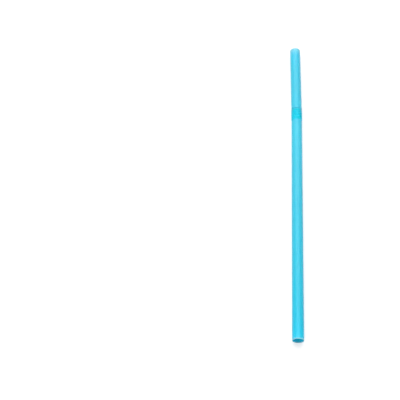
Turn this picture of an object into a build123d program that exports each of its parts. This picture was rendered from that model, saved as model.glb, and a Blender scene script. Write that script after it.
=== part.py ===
from build123d import *

import os
from math import atan2, cos, pi, radians, sin, tan

# Flexible drinking straw, in millimetres: a long lower tube, a neck of folded pleats and a short upper
# tube, all one piece of thin plastic. It lies on the ground along Y. The open mouth that goes into the
# drink points to -Y and the tip that is drunk from points to +Y. The neck is pushed together, as packed.

# Tube
outer_radius = 3.175
wall = 0.2
lower_length = 141.5
upper_length = 46.0
lip_bevel = 0.06  # along the outer edge of each cut end

# Neck. Each pleat has a long flank that slopes in and a short flank that is tucked back under it, so
# that its crest hangs over the pleat below like a skirt. The last crest is the end of the upper tube.
pleat_count = 7
pleat_pitch = 1.25  # from one crest to the next, pushed together
pleat_depth = 0.62  # from crest to root, at the sharp corners of the wall's middle line
pleat_tuck = 0.4  # how far each root lies inside the next pleat
crease = 0.02  # flat left on the inside of each fold
neck_bulge = 0.08  # how far the crests stand out past the tube
lower_collar = 0.45  # plain tube below the first groove
upper_collar = 0.7  # plain tube past the last root
neck_bend_deg = 0.9  # the upper tube leans this much towards -X

overrun = 1.0  # each length is made this much too long, then cut where it joins the next

# Folds. A fold turns the wall by fold_turn, with one flat across it. The flat starts fold_cut away from
# the sharp corner, which is as near as the wall's thickness allows.
long_slope = atan2(pleat_depth, pleat_pitch + pleat_tuck)
short_slope = atan2(pleat_depth, pleat_tuck)
fold_turn = pi - (short_slope - long_slope)
fold_cut = (crease + wall * tan(fold_turn / 4)) / (2 * cos(fold_turn / 2))

# Middle line of the wall. The crests' outer corners stand at the tube's radius plus the bulge.
inner_radius = outer_radius - wall
tube_middle = outer_radius - wall / 2
crest_outer = outer_radius + neck_bulge
corner_reach = wall / 2 * cos((pi - short_slope - 3 * long_slope) / 4) / cos(fold_turn / 4)
crest_middle = crest_outer + fold_cut * sin(long_slope) - corner_reach
root_middle = crest_middle - pleat_depth

# Heights along the neck. The first long flank starts at the tube and the last short one ends at it, so
# both are shorter than the rest by the same share.
end_share = (tube_middle - root_middle) / pleat_depth
first_root = lower_collar + (pleat_pitch + pleat_tuck) * end_share
last_root = first_root + (pleat_count - 1) * pleat_pitch
neck_length = last_root + upper_collar

# The bend is shared between the two ends of the neck
bend = radians(neck_bend_deg)
neck_lean = bend / 2


def along(lean):
    """Unit vector along the straw, leaning from +Y towards -X by an angle in radians."""
    return Vector(-sin(lean), cos(lean), 0)


# Places in the ground frame: the box of the whole straw stands centred over the origin
run_y = lower_length + neck_length * cos(neck_lean) + upper_length * cos(bend) + outer_radius * sin(bend)
reach_left = neck_length * sin(neck_lean) + upper_length * sin(bend) + outer_radius * cos(bend)
reach_right = crest_outer

mouth_centre = Vector((reach_left - reach_right) / 2, -run_y / 2, crest_outer)
neck_start = mouth_centre + along(0) * lower_length
neck_end = neck_start + along(neck_lean) * neck_length
tip_centre = neck_end + along(bend) * upper_length

# Each joint plane halves the angle between the two lengths that meet on it
lower_joint = Plane(origin=neck_start, z_dir=along(neck_lean / 2))
upper_joint = Plane(origin=neck_end, z_dir=along((neck_lean + bend) / 2))


def tube_ring():
    """Draw the tube's section: a ring with the outer radius and the wall."""
    Circle(outer_radius)
    Circle(inner_radius, mode=Mode.SUBTRACT)


def sharp_corners():
    """Corners of the neck wall's middle line with sharp folds, as distances from the axis and along it."""
    corners = [Vector(tube_middle, -overrun), Vector(tube_middle, lower_collar)]
    for pleat in range(pleat_count - 1):
        root_height = first_root + pleat * pleat_pitch
        corners.append(Vector(root_middle, root_height))
        corners.append(Vector(crest_middle, root_height - pleat_tuck))
    corners.append(Vector(root_middle, last_root))
    corners.append(Vector(tube_middle, last_root - pleat_tuck * end_share))
    corners.append(Vector(tube_middle, neck_length + overrun))
    return corners


def folded_line():
    """The same line with a flat across each fold."""
    corners = sharp_corners()
    line = corners[:2]
    for before, fold, after in zip(corners[1:-2], corners[2:-1], corners[3:]):
        line.append(fold + (before - fold).normalized() * fold_cut)
        line.append(fold + (after - fold).normalized() * fold_cut)
    return line + corners[-1:]


# Lower tube
with BuildPart() as lower_tube:
    with BuildSketch(Plane(origin=mouth_centre, z_dir=along(0))):
        tube_ring()
    extrude(amount=lower_length + overrun)
    split(bisect_by=lower_joint, keep=Keep.BOTTOM)
    mouth_rim = lower_tube.edges().group_by(Axis.Y)[0].sort_by(SortBy.RADIUS)[-1]
    chamfer(mouth_rim, length=lip_bevel)

# Upper tube
with BuildPart() as upper_tube:
    with BuildSketch(Plane(origin=tip_centre, z_dir=-along(bend))):
        tube_ring()
    extrude(amount=upper_length + overrun)
    split(bisect_by=upper_joint, keep=Keep.TOP)
    tip_rim = upper_tube.edges().group_by(Axis(tip_centre, along(bend)))[-1].sort_by(SortBy.RADIUS)[-1]
    chamfer(tip_rim, length=lip_bevel)

# Neck: the folded wall is drawn once beside its axis and turned round it
neck_section = Plane(origin=neck_start, x_dir=(cos(neck_lean), sin(neck_lean), 0), z_dir=(0, 0, 1))
with BuildPart() as neck:
    with BuildSketch(neck_section):
        with BuildLine():
            Polyline(*folded_line())
            offset(amount=wall / 2, kind=Kind.INTERSECTION, side=Side.BOTH)
        make_face()
    revolve(axis=Axis(neck_start, along(neck_lean)))
    split(bisect_by=lower_joint, keep=Keep.TOP)
    split(bisect_by=upper_joint, keep=Keep.BOTTOM)

# Straw: the three lengths are one piece
with BuildPart() as straw:
    add(lower_tube.part)
    add(neck.part)
    add(upper_tube.part)

straw.part.label = "straw"

os.makedirs("parts", exist_ok=True)
export_step(straw.part, "parts/straw.step")
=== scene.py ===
"""Looks of a flexible drinking straw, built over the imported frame. Lengths are in metres."""

import logging
import math
from collections.abc import Sequence
from dataclasses import dataclass, field
from enum import Enum

import bmesh
import bpy
from mathutils import Matrix, Vector, noise


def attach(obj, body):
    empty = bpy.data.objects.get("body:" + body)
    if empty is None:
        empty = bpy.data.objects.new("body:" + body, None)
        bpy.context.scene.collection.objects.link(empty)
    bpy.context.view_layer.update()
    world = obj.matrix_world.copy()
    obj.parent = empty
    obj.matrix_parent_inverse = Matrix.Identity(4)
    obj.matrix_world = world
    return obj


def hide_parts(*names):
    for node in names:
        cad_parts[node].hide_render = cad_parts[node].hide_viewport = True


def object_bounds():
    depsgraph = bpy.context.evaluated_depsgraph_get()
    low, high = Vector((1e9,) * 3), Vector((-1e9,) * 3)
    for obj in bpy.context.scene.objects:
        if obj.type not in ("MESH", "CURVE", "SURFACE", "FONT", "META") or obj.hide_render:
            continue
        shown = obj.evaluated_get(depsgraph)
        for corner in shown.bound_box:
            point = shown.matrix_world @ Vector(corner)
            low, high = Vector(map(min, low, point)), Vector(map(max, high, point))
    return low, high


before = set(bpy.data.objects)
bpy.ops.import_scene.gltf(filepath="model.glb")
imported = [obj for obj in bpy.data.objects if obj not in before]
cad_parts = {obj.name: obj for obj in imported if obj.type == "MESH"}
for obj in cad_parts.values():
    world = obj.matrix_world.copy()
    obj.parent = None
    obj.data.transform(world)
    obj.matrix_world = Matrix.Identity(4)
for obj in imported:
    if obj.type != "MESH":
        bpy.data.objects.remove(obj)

log = logging.getLogger("straw")

MM = 0.001
NODE = "straw"
CAD_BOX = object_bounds()

Colour = tuple[float, float, float, float]
Triple = tuple[float, float, float]

WHITE: Colour = (1.0, 1.0, 1.0, 1.0)
NOISE_LOW = 0.3  # nearly all values of a noise texture lie between these two
NOISE_HIGH = 0.7


def linear(hex_colour: str) -> Colour:
    """Turn a screen colour into the linear one that Blender's shaders take.

    Args:
        hex_colour: Six hexadecimal digits, as in "30cdee".

    Returns:
        Red, green, blue and an alpha of 1.
    """
    channels = []
    for start in (0, 2, 4):
        value = int(hex_colour[start:start + 2], 16) / 255
        channels.append(value / 12.92 if value <= 0.04045 else ((value + 0.055) / 1.055) ** 2.4)
    return (*channels, 1.0)


def background_rays(tree: bpy.types.NodeTree) -> bpy.types.NodeSocket:
    """Tell the rays that show the background: the camera's own, and those in a reflection or through a wall.

    Args:
        tree: The node tree that gets the nodes.

    Returns:
        1 for such a ray, and 0 for one that only carries light.
    """
    path = tree.nodes.new("ShaderNodeLightPath")
    seen = path.outputs["Is Camera Ray"]
    for name in ("Is Glossy Ray", "Is Transmission Ray"):
        either = tree.nodes.new("ShaderNodeMath")
        either.operation = "MAXIMUM"
        tree.links.new(seen, either.inputs[0])
        tree.links.new(path.outputs[name], either.inputs[1])
        seen = either.outputs["Value"]
    return seen


class WallSide(Enum):
    """Which face of the straw's thin wall a line of the profile runs along."""

    OUTER = 1
    INNER = -1


@dataclass(frozen=True)
class Station:
    """One ring of the straw's skin.

    Attributes:
        radius: Distance from the straw's axis.
        height: Distance along the straw from its mouth, before the neck is bent.
        folded: How far the wall here belongs to the folded neck, from 0 to 1.
        side: The face of the wall that the ring lies on.
    """

    radius: float
    height: float
    folded: float
    side: WallSide


@dataclass(frozen=True)
class Grain:
    """A noise pattern over object coordinates.

    Attributes:
        stretch: Factor on each coordinate, so a small one draws the pattern out along that axis.
        scale: Scale of the noise.
        detail: How many finer layers it has.
    """

    stretch: Triple
    scale: float
    detail: float


@dataclass(frozen=True)
class PigmentedPlastic:
    """Soft translucent plastic that is coloured through, as an extruded tube has it.

    Attributes:
        body: Screen colour of the plain tube.
        band: Deeper screen colour where the wall lies folded over itself.
        bore: Screen colour painted deep on the inner face as the look of the bore's shade, where light has
            passed the pigment more than once.
        end: Paler screen colour painted as light at each cut end, where light gets into the wall: a painted
            highlight on the lips and a painted glow at the tip.
        cloud: How much the pigment varies in brightness along the tube.
        roughness: Roughness of the plain skin.
        polish: How much less rough the skin is where it is rubbed smooth.
        scuff: How much rougher it is where it is rubbed dull.
        glow: Share of the light that scatters inside the wall.
        reach: How far red, green and blue light travel inside the wall.
        refraction: Index of refraction.
        specular: Strength of the skin's reflection, where 0.5 leaves it to the index of refraction.
        coat: Strength of the thin clear skin over the pigment.
        coat_roughness: Roughness of that clear skin.
        streak_height: Depth of the fine lines that the die leaves along the tube.
        streak_strength: How much of that depth shows.
        wave_height: Depth of the slow unevenness of the skin.
        wave_strength: How much of that depth shows.
        cloud_grain: Pattern of the pigment.
        handling_grain: Pattern of the rubbed places.
        streak_grain: Pattern of the fine lines.
        wave_grain: Pattern of the slow unevenness.
    """

    body: str = "1acdff"
    band: str = "0adaff"
    # painted shade deep in the bore
    bore: str = "0ce6ff"
    # painted light at the cut ends and towards the tip
    end: str = "a2d8e8"
    cloud: float = 0.04
    roughness: float = 0.36
    polish: float = 0.05
    scuff: float = 0.08
    glow: float = 0.45
    reach: Triple = (0.4 * MM, 1.2 * MM, 1.8 * MM)
    refraction: float = 1.49
    specular: float = 0.3
    coat: float = 0.06
    coat_roughness: float = 0.2
    streak_height: float = 0.012 * MM
    streak_strength: float = 0.35
    wave_height: float = 0.024 * MM
    wave_strength: float = 0.5
    cloud_grain: Grain = Grain((40.0, 16.0, 40.0), 2.0, 3.0)
    handling_grain: Grain = Grain((1.0, 0.35, 1.0), 420.0, 4.0)
    streak_grain: Grain = Grain((1.0, 0.012, 1.0), 2600.0, 3.0)
    wave_grain: Grain = Grain((1.0, 0.2, 1.0), 260.0, 2.0)

    def build(self, name: str) -> bpy.types.Material:
        """Make the node material.

        Args:
            name: Name of the new material.

        Returns:
            The material, with its colour, streaks and gloss made by nodes.
        """
        material = bpy.data.materials.new(name)
        material.use_nodes = True
        nodes = material.node_tree.nodes
        shader = nodes["Principled BSDF"]
        shader.inputs["Subsurface Weight"].default_value = self.glow
        shader.inputs["Subsurface Radius"].default_value = self.reach
        shader.inputs["Subsurface Scale"].default_value = 1.0
        shader.inputs["IOR"].default_value = self.refraction
        shader.inputs["Specular IOR Level"].default_value = self.specular
        shader.inputs["Coat Weight"].default_value = self.coat
        shader.inputs["Coat Roughness"].default_value = self.coat_roughness
        links = material.node_tree.links
        place = nodes.new("ShaderNodeTexCoord").outputs["Object"]
        links.new(self._colour(material, place), shader.inputs["Base Color"])
        links.new(self._gloss(material, place), shader.inputs["Roughness"])
        links.new(self._streaks(material, place), shader.inputs["Normal"])
        return material

    def _colour(self, material: bpy.types.Material, place: bpy.types.NodeSocket) -> bpy.types.NodeSocket:
        """Mix the four colours, among them the painted shade of the bore and the painted light of the ends,
        and let the pigment drift a little along the tube.

        Args:
            material: The material that gets the nodes.
            place: Object coordinates.

        Returns:
            The finished colour.
        """
        nodes, links = material.node_tree.nodes, material.node_tree.links
        folded = self._mix(material, "folded", linear(self.body), linear(self.band))
        # painted shade of the bore: the bore colour grows with depth from the open ends
        bored = self._mix(material, "inside", folded, linear(self.bore))
        # painted light of the ends: a highlight on each lip, a glow at the tip and a faint sheen on the
        # upper half
        ended = self._mix(material, "painted_end_light", bored, linear(self.end))
        drift = self._noise(material, place, self.cloud_grain)
        tint = nodes.new("ShaderNodeHueSaturation")
        links.new(self._spread(material, drift, 1.0 - self.cloud, 1.0 + self.cloud), tint.inputs["Value"])
        links.new(ended, tint.inputs["Color"])
        return tint.outputs["Color"]

    def _mix(self, material: bpy.types.Material, attribute: str, low: Colour | bpy.types.NodeSocket,
             high: Colour) -> bpy.types.NodeSocket:
        """Mix two colours by a value stored on the mesh.

        Args:
            material: The material that gets the nodes.
            attribute: Name of the mesh's own value, from 0 to 1.
            low: Colour, or a socket that gives one, where the value is 0.
            high: Colour where the value is 1.

        Returns:
            The mixed colour.
        """
        nodes, links = material.node_tree.nodes, material.node_tree.links
        value = nodes.new("ShaderNodeAttribute")
        value.attribute_name = attribute
        mix = nodes.new("ShaderNodeMix")
        mix.data_type = "RGBA"
        links.new(value.outputs["Fac"], mix.inputs["Factor"])
        if isinstance(low, bpy.types.NodeSocket):
            links.new(low, mix.inputs["A"])
        else:
            mix.inputs["A"].default_value = low
        mix.inputs["B"].default_value = high
        return mix.outputs["Result"]

    def _noise(self, material: bpy.types.Material, place: bpy.types.NodeSocket,
               grain: Grain) -> bpy.types.NodeSocket:
        """Add a noise texture over stretched object coordinates.

        Args:
            material: The material that gets the nodes.
            place: Object coordinates.
            grain: Its pattern.

        Returns:
            The noise's value.
        """
        nodes, links = material.node_tree.nodes, material.node_tree.links
        mapping = nodes.new("ShaderNodeMapping")
        mapping.inputs["Scale"].default_value = grain.stretch
        links.new(place, mapping.inputs["Vector"])
        texture = nodes.new("ShaderNodeTexNoise")
        texture.inputs["Scale"].default_value = grain.scale
        texture.inputs["Detail"].default_value = grain.detail
        links.new(mapping.outputs["Vector"], texture.inputs["Vector"])
        return texture.outputs["Fac"]

    def _spread(self, material: bpy.types.Material, value: bpy.types.NodeSocket, low: float,
                high: float) -> bpy.types.NodeSocket:
        """Spread a noise's values over a range.

        Args:
            material: The material that gets the node.
            value: The noise's value.
            low: Lowest result.
            high: Highest result.

        Returns:
            The result.
        """
        span = material.node_tree.nodes.new("ShaderNodeMapRange")
        span.inputs["From Min"].default_value = NOISE_LOW
        span.inputs["From Max"].default_value = NOISE_HIGH
        span.inputs["To Min"].default_value = low
        span.inputs["To Max"].default_value = high
        material.node_tree.links.new(value, span.inputs["Value"])
        return span.outputs["Result"]

    def _gloss(self, material: bpy.types.Material, place: bpy.types.NodeSocket) -> bpy.types.NodeSocket:
        """Let the roughness vary with faint handling marks.

        Args:
            material: The material that gets the nodes.
            place: Object coordinates.

        Returns:
            The roughness.
        """
        marks = self._noise(material, place, self.handling_grain)
        return self._spread(material, marks, self.roughness - self.polish, self.roughness + self.scuff)

    def _streaks(self, material: bpy.types.Material, place: bpy.types.NodeSocket) -> bpy.types.NodeSocket:
        """Raise the fine lines along the tube and a slow unevenness of the skin.

        Args:
            material: The material that gets the nodes.
            place: Object coordinates.

        Returns:
            The bumped normal.
        """
        nodes, links = material.node_tree.nodes, material.node_tree.links
        lines = nodes.new("ShaderNodeBump")
        lines.inputs["Strength"].default_value = self.streak_strength
        lines.inputs["Distance"].default_value = self.streak_height
        links.new(self._noise(material, place, self.streak_grain), lines.inputs["Height"])
        waves = nodes.new("ShaderNodeBump")
        waves.inputs["Strength"].default_value = self.wave_strength
        waves.inputs["Distance"].default_value = self.wave_height
        links.new(self._noise(material, place, self.wave_grain), waves.inputs["Height"])
        links.new(lines.outputs["Normal"], waves.inputs["Normal"])
        return waves.outputs["Normal"]


@dataclass
class StrawTube:
    """The whole straw: two plain lengths of thin tube and the folded neck between them, in one skin.

    The sizes that have no value here are worked out from the others.

    Attributes:
        radius: Outer radius of the tube.
        wall: Thickness of the wall.
        lower_length: Length of the tube from the mouth to the neck.
        upper_length: Length of the tube from the neck to the tip, at first. It is then fitted to the frame.
        pleat_count: Number of pleats in the neck.
        pleat_pitch: Distance from one crest to the next.
        pleat_depth: Depth of a pleat, at the sharp corners of the wall's middle line.
        pleat_tuck: How far each root lies inside the next pleat.
        fold_radius: Radius of the wall's middle line at each fold.
        neck_bulge: How far the crests stand out past the tube.
        lower_collar: Plain tube below the first groove.
        upper_collar: Plain tube past the last root.
        bend: Angle by which the upper tube leans to one side.
        lip_radius: Radius of the softened outer edge of each cut end.
        bore_lip_radius: Radius of the softened edge of the bore there.
        around: Number of faces around the tube.
        fold_steps: Number of faces across each fold.
        lip_steps: Number of faces across the softened outer edge.
        bore_lip_steps: Number of faces across the bore's softened edge.
        tube_step: Longest face along a plain tube.
        end_rings: Depths of the extra rings near each open end, which carry the fading painted light.
        waver: Greatest depth of the tube's slow unevenness.
        waver_round: How quickly it changes round the tube.
        waver_length: Length over which it changes along the tube.
        bore_shade: Depth from an open end at which the bore is in full painted shade.
        end_glow: Distance over which the painted glow of the tip fades on the outer face.
        lip_glow: Distance over which the painted highlight of a cut lip fades.
        tip_share: How much of the painted glow the outer face has at the tip.
        painted_sheen: How much of the paler colour the outer face has from the middle of the straw upwards,
            as a painted sheen.
        band_fade: Part of a pleat over which the neck's colour begins and ends.
        finish: The plastic.
        tube_middle: Radius of the wall's middle line on the plain tube.
        crest_middle: Radius at which that line would have its sharp crests.
        root_middle: Radius at which it would have its sharp roots.
        first_root: Height of the neck's first root above the lower tube.
        last_root: Height of its last root.
        last_crest: Height of its last crest, which is the edge of the plain tube above.
        neck_length: Length of the whole neck.
        neck_lean: Angle by which the neck leans.
        length: Length of the whole straw, along its axis.
        mouth_centre: Where the axis starts, in the frame.
        neck_start: Where the lower tube ends.
        neck_end: Where the upper tube starts.
    """

    radius: float = 3.175 * MM
    wall: float = 0.2 * MM
    lower_length: float = 141.5 * MM
    upper_length: float = 46.0 * MM
    pleat_count: int = 7
    pleat_pitch: float = 1.25 * MM
    pleat_depth: float = 0.62 * MM
    pleat_tuck: float = 0.4 * MM
    fold_radius: float = 0.115 * MM
    neck_bulge: float = 0.08 * MM
    lower_collar: float = 0.45 * MM
    upper_collar: float = 0.7 * MM
    bend: float = math.radians(0.9)
    lip_radius: float = 0.06 * MM
    bore_lip_radius: float = 0.02 * MM
    around: int = 144
    fold_steps: int = 6
    lip_steps: int = 5
    bore_lip_steps: int = 3
    tube_step: float = 3.0 * MM
    end_rings: tuple[float, ...] = (0.2 * MM, 0.45 * MM, 0.9 * MM, 1.6 * MM, 4.5 * MM)
    waver: float = 0.012 * MM
    waver_round: float = 0.9
    waver_length: float = 22.0 * MM
    bore_shade: float = 5.0 * MM
    end_glow: float = 3.2 * MM
    lip_glow: float = 0.4 * MM
    tip_share: float = 0.8
    painted_sheen: float = 0.1
    band_fade: float = 1 / 3
    finish: PigmentedPlastic = PigmentedPlastic()
    tube_middle: float = field(init=False)
    crest_middle: float = field(init=False)
    root_middle: float = field(init=False)
    first_root: float = field(init=False)
    last_root: float = field(init=False)
    last_crest: float = field(init=False)
    neck_length: float = field(init=False)
    neck_lean: float = field(init=False)
    length: float = field(init=False)
    mouth_centre: Vector = field(init=False)
    neck_start: Vector = field(init=False)
    neck_end: Vector = field(init=False)

    def __post_init__(self) -> None:
        """Work out the neck's sizes from the driving ones, and then the places of the three lengths."""
        long_slope = math.atan2(self.pleat_depth, self.pleat_pitch + self.pleat_tuck)
        short_slope = math.atan2(self.pleat_depth, self.pleat_tuck)
        half_fold = (short_slope - long_slope) / 2
        self.tube_middle = self.radius - self.wall / 2
        # A rounded fold stops short of its sharp corner by this much, measured away from the axis
        apex_drop = self.fold_radius * (math.sin((long_slope + short_slope) / 2) / math.sin(half_fold) - 1)
        self.crest_middle = self.radius + self.neck_bulge - self.wall / 2 + apex_drop
        self.root_middle = self.crest_middle - self.pleat_depth
        end_share = (self.tube_middle - self.root_middle) / self.pleat_depth
        self.first_root = self.lower_collar + (self.pleat_pitch + self.pleat_tuck) * end_share
        self.last_root = self.first_root + (self.pleat_count - 1) * self.pleat_pitch
        self.last_crest = self.last_root - self.pleat_tuck * end_share
        self.neck_length = self.last_root + self.upper_collar
        self._set_places()
        self.length = self.lower_length + self.neck_length + self.upper_length

    def build(self) -> bpy.types.Object:
        """Make the straw's mesh and dress it.

        Returns:
            The new piece, at its place in the frame.
        """
        skin = self._skin()
        mesh = bpy.data.meshes.new("drinking_straw")
        self._fill(mesh, skin)
        tints = {"folded": self._folded, "inside": self._inside, "painted_end_light": self._painted_end_light}
        for name, tint in tints.items():
            layer = mesh.attributes.new(name, "FLOAT", "POINT")
            layer.data.foreach_set("value", [tint(station) for station in skin for _ in range(self.around)])
        mesh.materials.append(self.finish.build("cyan_straw_plastic"))
        piece = bpy.data.objects.new("drinking_straw", mesh)
        bpy.context.scene.collection.objects.link(piece)
        return piece

    def _middle_line(self) -> list[Vector]:
        """Draw the wall's middle line through the neck, with each fold rounded.

        Returns:
            Points of radius and height, from just below the neck's first groove to past its last fold.
        """
        corners = [Vector((self.tube_middle, 0.0)), Vector((self.tube_middle, self.lower_collar))]
        for pleat in range(self.pleat_count - 1):
            root_height = self.first_root + pleat * self.pleat_pitch
            corners.append(Vector((self.root_middle, root_height)))
            corners.append(Vector((self.crest_middle, root_height - self.pleat_tuck)))
        corners.append(Vector((self.root_middle, self.last_root)))
        corners.append(Vector((self.tube_middle, self.last_crest)))
        corners.append(Vector((self.tube_middle, self.neck_length)))
        line = [corners[0]]
        for before, fold, after in zip(corners, corners[1:], corners[2:]):
            line += self._rounded(before, fold, after)
        return line + [corners[-1]]

    def _rounded(self, before: Vector, fold: Vector, after: Vector) -> list[Vector]:
        """Round one fold of the wall's middle line.

        Args:
            before: The corner before the fold.
            fold: The sharp corner of the fold.
            after: The corner after it.

        Returns:
            Points on the arc that takes the corner's place.
        """
        to_before = (before - fold).normalized()
        to_after = (after - fold).normalized()
        half = to_before.angle(to_after) / 2
        middle = (to_before + to_after).normalized()
        centre = fold + middle * (self.fold_radius / math.sin(half))
        start = fold + to_before * (self.fold_radius / math.tan(half)) - centre
        end = fold + to_after * (self.fold_radius / math.tan(half)) - centre
        # A signed angle counts clockwise, and a rotation the other way
        turn = -start.angle_signed(end)
        arc = []
        for step in range(self.fold_steps + 1):
            angle = turn * step / self.fold_steps
            arc.append(centre + Matrix.Rotation(angle, 2) @ start)
        return arc

    def _neck_line(self, side: WallSide) -> list[Vector]:
        """Offset the middle line to one face of the wall.

        Args:
            side: Which face.

        Returns:
            Points of radius and height on that face, without the two ends.
        """
        line = self._middle_line()
        sharpest = 0.5  # cosine of half the sharpest turn that the offset follows to its corner
        face = []
        for before, point, after in zip(line, line[1:], line[2:]):
            run_in = (point - before).normalized()
            run_out = (after - point).normalized()
            along = (run_in + run_out).normalized()
            outward = Vector((along.y, -along.x))
            reach = self.wall / 2 / max(sharpest, along.dot(run_in))
            face.append(point + outward * reach * side.value)
        return face

    def _skin(self) -> list[Station]:
        """List the rings of the whole skin, out along the outer face and back along the inner one.

        Returns:
            The rings, in order round the wall's section.
        """
        outer, bore = self.radius, self.radius - self.wall
        past_lip = self.lip_radius * 1.5
        skin = [Station(*ring, 0.0, WallSide.OUTER) for ring in self._lip(0.0, 1)]
        skin += self._plain(outer, past_lip, self.lower_length, WallSide.OUTER)
        skin += self._folds(WallSide.OUTER)
        top = self.length - self.upper_length
        skin += self._plain(outer, top, self.length - past_lip, WallSide.OUTER)
        skin += [Station(*ring, 0.0, WallSide.OUTER) for ring in reversed(self._lip(self.length, -1))]
        skin += self._plain(bore, self.length - self.lip_radius, top, WallSide.INNER)
        skin += reversed(self._folds(WallSide.INNER))
        skin += self._plain(bore, self.lower_length, self.lip_radius, WallSide.INNER)
        return skin

    def _lip(self, end: float, inward: int) -> list[tuple[float, float]]:
        """Round both edges of a cut end.

        Args:
            end: Height of the cut.
            inward: 1 where the straw lies above the cut, -1 where it lies below.

        Returns:
            Radius and height of each ring, from the bore's edge to the tube's outer face.
        """
        bore = self.radius - self.wall
        rings = []
        for step in range(self.bore_lip_steps + 1):
            angle = math.pi / 2 * step / self.bore_lip_steps
            away = self.bore_lip_radius * (1 - math.sin(angle))
            rings.append((bore + self.bore_lip_radius * (1 - math.cos(angle)), end + inward * away))
        for step in range(self.lip_steps + 1):
            angle = math.pi / 2 * step / self.lip_steps
            away = self.lip_radius * (1 - math.cos(angle))
            rings.append((self.radius - self.lip_radius * (1 - math.sin(angle)), end + inward * away))
        return rings

    def _plain(self, radius: float, start: float, stop: float, side: WallSide) -> list[Station]:
        """List the rings of one plain length of tube.

        Args:
            radius: Radius of this face.
            start: Height of its first ring.
            stop: Height of its last ring.
            side: Which face of the wall it is.

        Returns:
            Its rings.
        """
        count = max(1, round(abs(stop - start) / self.tube_step))
        heights = [start + (stop - start) * step / count for step in range(count + 1)]
        for depth in self.end_rings:
            for height in (depth, self.length - depth):
                if min(start, stop) < height < max(start, stop):
                    heights.append(height)
        heights.sort(reverse=stop < start)
        return [Station(radius, height, 0.0, side) for height in heights]

    def _folds(self, side: WallSide) -> list[Station]:
        """List the rings of the folded neck, along one face of the wall.

        Args:
            side: Which face.

        Returns:
            Its rings, upwards.
        """
        fade = self.pleat_pitch * self.band_fade
        rings = []
        for point in self._neck_line(side):
            from_ends = min(point.y - self.lower_collar, self.last_crest - point.y)
            folded = min(1.0, max(0.0, 0.5 + from_ends / fade))
            rings.append(Station(point.x, self.lower_length + point.y, folded, side))
        return rings

    def _folded(self, station: Station) -> float:
        """How far a ring belongs to the folded neck."""
        return station.folded

    def _inside(self, station: Station) -> float:
        """How far a ring lies in the painted shade of the bore.

        Args:
            station: The ring.

        Returns:
            0 outside and at the open ends, up to 1 deep inside.
        """
        if station.side is WallSide.OUTER:
            return 0.0
        depth = min(station.height, self.length - station.height) / self.bore_shade
        return min(1.0, max(0.0, depth))

    def _painted_end_light(self, station: Station) -> float:
        """How far a ring has the painted light of the cut ends, which fades with distance: a painted
        highlight on each lip and a painted glow at the tip.

        Args:
            station: The ring.

        Returns:
            1 at both lips, down to 0. It reaches further on the outer face of the tip, and a little of it is
            all over the outer face from the middle of the straw upwards, as a painted sheen.
        """
        below, above = max(0.0, station.height), max(0.0, self.length - station.height)
        # painted highlight on each lip, fading with distance from the cut
        share = math.exp(-min(below, above) / self.lip_glow)
        if station.side is WallSide.OUTER:
            # painted sheen on the outer face, growing from the mouth to the middle of the straw
            upward = min(1.0, below / (self.length / 2))
            sheen_share = self.painted_sheen * upward * (1.0 - station.folded)
            # painted glow of the tip on the outer face
            share = max(share, self.tip_share * math.exp(-above / self.end_glow), sheen_share)
        return share

    def _fill(self, mesh: bpy.types.Mesh, skin: Sequence[Station]) -> None:
        """Put the rings and the faces between them into the mesh.

        Args:
            mesh: An empty mesh.
            skin: The rings.
        """
        shape = bmesh.new()
        rings = []
        steps = range(self.around)
        for station in skin:
            points = [self._place(station, math.tau * step / self.around) for step in steps]
            rings.append([shape.verts.new(point) for point in points])
        for lower, upper in zip(rings, rings[1:] + rings[:1]):
            for step in steps:
                after = (step + 1) % self.around
                face = shape.faces.new((lower[step], lower[after], upper[after], upper[step]))
                face.smooth = True
        shape.to_mesh(mesh)
        shape.free()

    def _place(self, station: Station, angle: float) -> Vector:
        """Find one point of a ring in the frame, with the neck bent.

        Args:
            station: The ring.
            angle: Angle round the straw's axis.

        Returns:
            The point.
        """
        turn = self.waver_round
        spot = Vector((math.cos(angle) * turn, math.sin(angle) * turn, station.height / self.waver_length))
        plain = 1.0 - station.folded
        radius = station.radius - self.waver * plain * (1.0 + noise.noise(spot)) / 2
        above_neck = station.height - self.lower_length
        above_bend = above_neck - self.neck_length
        if above_neck < 0:
            lean, foot, run = 0.0, self.mouth_centre, station.height
        elif above_bend < 0:
            lean, foot, run = self.neck_lean, self.neck_start, above_neck
        else:
            lean, foot, run = self.bend, self.neck_end, above_bend
        across = Vector((math.cos(lean), math.sin(lean), 0.0))
        up = Vector((0.0, 0.0, 1.0))
        return foot + self._along(lean) * run + radius * (across * math.cos(angle) + up * math.sin(angle))

    def _along(self, lean: float) -> Vector:
        """Direction along the straw, where it leans by an angle from +Y towards -X."""
        return Vector((-math.sin(lean), math.cos(lean), 0.0))

    def _set_places(self) -> None:
        """Work out where the straw's lengths lie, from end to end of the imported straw's box."""
        self.neck_lean = self.bend / 2
        crest = self.radius + self.neck_bulge
        left = self.neck_length * math.sin(self.neck_lean) + self.upper_length * math.sin(self.bend)
        left += self.radius * math.cos(self.bend)
        self.mouth_centre = Vector(((left - crest) / 2, CAD_BOX[0][1], crest))
        self.neck_start = self.mouth_centre + self._along(0.0) * self.lower_length
        self.neck_end = self.neck_start + self._along(self.neck_lean) * self.neck_length
        tip_y = CAD_BOX[1][1] - self.radius * math.sin(self.bend)
        self.upper_length = (tip_y - self.neck_end.y) / math.cos(self.bend)


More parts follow.
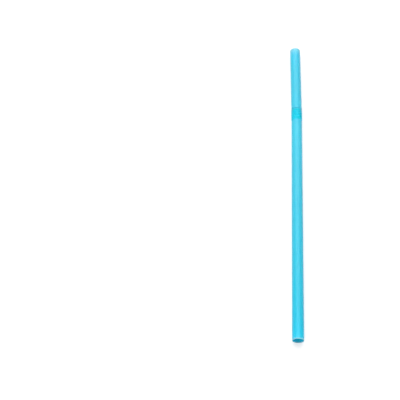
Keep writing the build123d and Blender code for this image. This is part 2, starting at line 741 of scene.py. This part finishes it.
@dataclass(frozen=True)
class StudioFloor:
    """Plain white floor that keeps the straw's soft shadow.

    Attributes:
        radius: Radius of the round floor.
        segments: Number of edges round it.
        white: Brightness of its surface.
        roughness: Roughness of its surface.
        specular: Strength of its reflection, where 0.5 leaves it to the index of refraction.
        lift: Part of its white that the camera sees even in shadow.
    """

    radius: float = 0.5
    segments: int = 96
    white: float = 0.64
    roughness: float = 0.9
    specular: float = 0.1
    lift: float = 0.5

    def build(self) -> bpy.types.Object:
        """Make the floor.

        Returns:
            The floor, dressed.
        """
        shape = bmesh.new()
        bmesh.ops.create_circle(shape, cap_ends=True, segments=self.segments, radius=self.radius)
        mesh = bpy.data.meshes.new("floor")
        shape.to_mesh(mesh)
        shape.free()
        mesh.materials.append(self._material())
        floor = bpy.data.objects.new("floor", mesh)
        bpy.context.scene.collection.objects.link(floor)
        return floor

    def _material(self) -> bpy.types.Material:
        """Make the white of the floor: a matt surface, with a little light of its own to the camera.

        Returns:
            The material.
        """
        material = bpy.data.materials.new("floor_white")
        material.use_nodes = True
        shader = material.node_tree.nodes["Principled BSDF"]
        shader.inputs["Base Color"].default_value = (self.white, self.white, self.white, 1.0)
        shader.inputs["Roughness"].default_value = self.roughness
        shader.inputs["Specular IOR Level"].default_value = self.specular
        shader.inputs["Emission Color"].default_value = WHITE
        material.node_tree.links.new(self._seen(material), shader.inputs["Emission Strength"])
        return material

    def _seen(self, material: bpy.types.Material) -> bpy.types.NodeSocket:
        """Give the floor's own light only to the rays that show the background.

        Args:
            material: The material that gets the nodes.

        Returns:
            Strength of the light.
        """
        nodes, links = material.node_tree.nodes, material.node_tree.links
        share = nodes.new("ShaderNodeMath")
        share.operation = "MULTIPLY"
        share.inputs[1].default_value = self.lift
        links.new(background_rays(material.node_tree), share.inputs[0])
        return share.outputs["Value"]


@dataclass(frozen=True)
class Softbox:
    """A rectangular studio lamp.

    Attributes:
        name: Name of the lamp.
        place: Where it hangs.
        target: The point that it faces.
        width: Its side across.
        length: Its side along.
        watts: Its power.
    """

    name: str
    place: Triple
    target: Triple
    width: float
    length: float
    watts: float

    def build(self) -> bpy.types.Object:
        """Hang the lamp.

        Returns:
            The lamp.
        """
        light = bpy.data.lights.new(self.name, "AREA")
        light.shape = "RECTANGLE"
        light.size = self.width
        light.size_y = self.length
        light.energy = self.watts
        lamp = bpy.data.objects.new(self.name, light)
        lamp.location = self.place
        lamp.rotation_euler = (Vector(self.target) - Vector(self.place)).to_track_quat("-Z", "Y").to_euler()
        bpy.context.scene.collection.objects.link(lamp)
        return lamp


@dataclass(frozen=True)
class Studio:
    """Floor, lamps, surrounding light and camera.

    Attributes:
        ambient: Strength of the even light from all round.
        camera_place: Where the camera stands.
        camera_turn: How far it is turned left from looking along +Y.
        camera_pitch: How far it looks down.
        lens: Focal length, in millimetres.
        sensor: Width of the sensor, in millimetres.
        nearest: Distance from the camera at which things begin to show.
        floor: The floor.
        lamps: The lamps.
    """

    ambient: float = 0.35
    camera_place: Triple = (-0.0421, -0.2803, 0.4445)
    camera_turn: float = math.radians(2.891)
    camera_pitch: float = math.radians(58.963)
    lens: float = 80.6
    sensor: float = 36.0
    nearest: float = 0.01
    floor: StudioFloor = StudioFloor()
    lamps: tuple[Softbox, ...] = (
        Softbox("softbox_top", (-0.1, 0.6, 0.95), (0.0, 0.0, 0.0), 1.4, 1.1, 12.6),
        Softbox("softbox_front", (-0.35, -0.9, 0.7), (0.0, 0.0, 0.0), 0.8, 0.8, 4.6),
    )

    def build(self) -> None:
        """Set up the whole studio."""
        self.floor.build()
        for lamp in self.lamps:
            lamp.build()
        self._surround()
        self._camera()
        bpy.context.scene.view_settings.view_transform = "Standard"

    def _surround(self) -> None:
        """Light the scene evenly from all round, and show white where the background is seen."""
        world = bpy.data.worlds.new("studio_white")
        bpy.context.scene.world = world
        world.use_nodes = True
        nodes, links = world.node_tree.nodes, world.node_tree.links
        strength = nodes.new("ShaderNodeMapRange")
        strength.inputs["To Min"].default_value = self.ambient
        strength.inputs["To Max"].default_value = 1.0
        links.new(background_rays(world.node_tree), strength.inputs["Value"])
        sky = nodes["Background"]
        sky.inputs["Color"].default_value = WHITE
        links.new(strength.outputs["Result"], sky.inputs["Strength"])

    def _camera(self) -> None:
        """Stand the camera where the photograph was taken from."""
        optics = bpy.data.cameras.new("camera")
        optics.lens = self.lens
        optics.sensor_width = self.sensor
        optics.clip_start = self.nearest
        camera = bpy.data.objects.new("camera", optics)
        camera.location = self.camera_place
        camera.rotation_euler = (math.pi / 2 - self.camera_pitch, 0.0, self.camera_turn)
        bpy.context.scene.collection.objects.link(camera)
        bpy.context.scene.camera = camera


def main() -> None:
    """Build the straw and the studio, and report each piece."""
    logging.basicConfig(level=logging.INFO, format="%(message)s")
    straw = StrawTube().build()
    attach(straw, "root")
    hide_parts(NODE)
    log.info("%s: %d faces", straw.name, len(straw.data.polygons))
    Studio().build()
    log.info("studio: floor, lamps and camera")


if __name__ == "__main__":
    main()
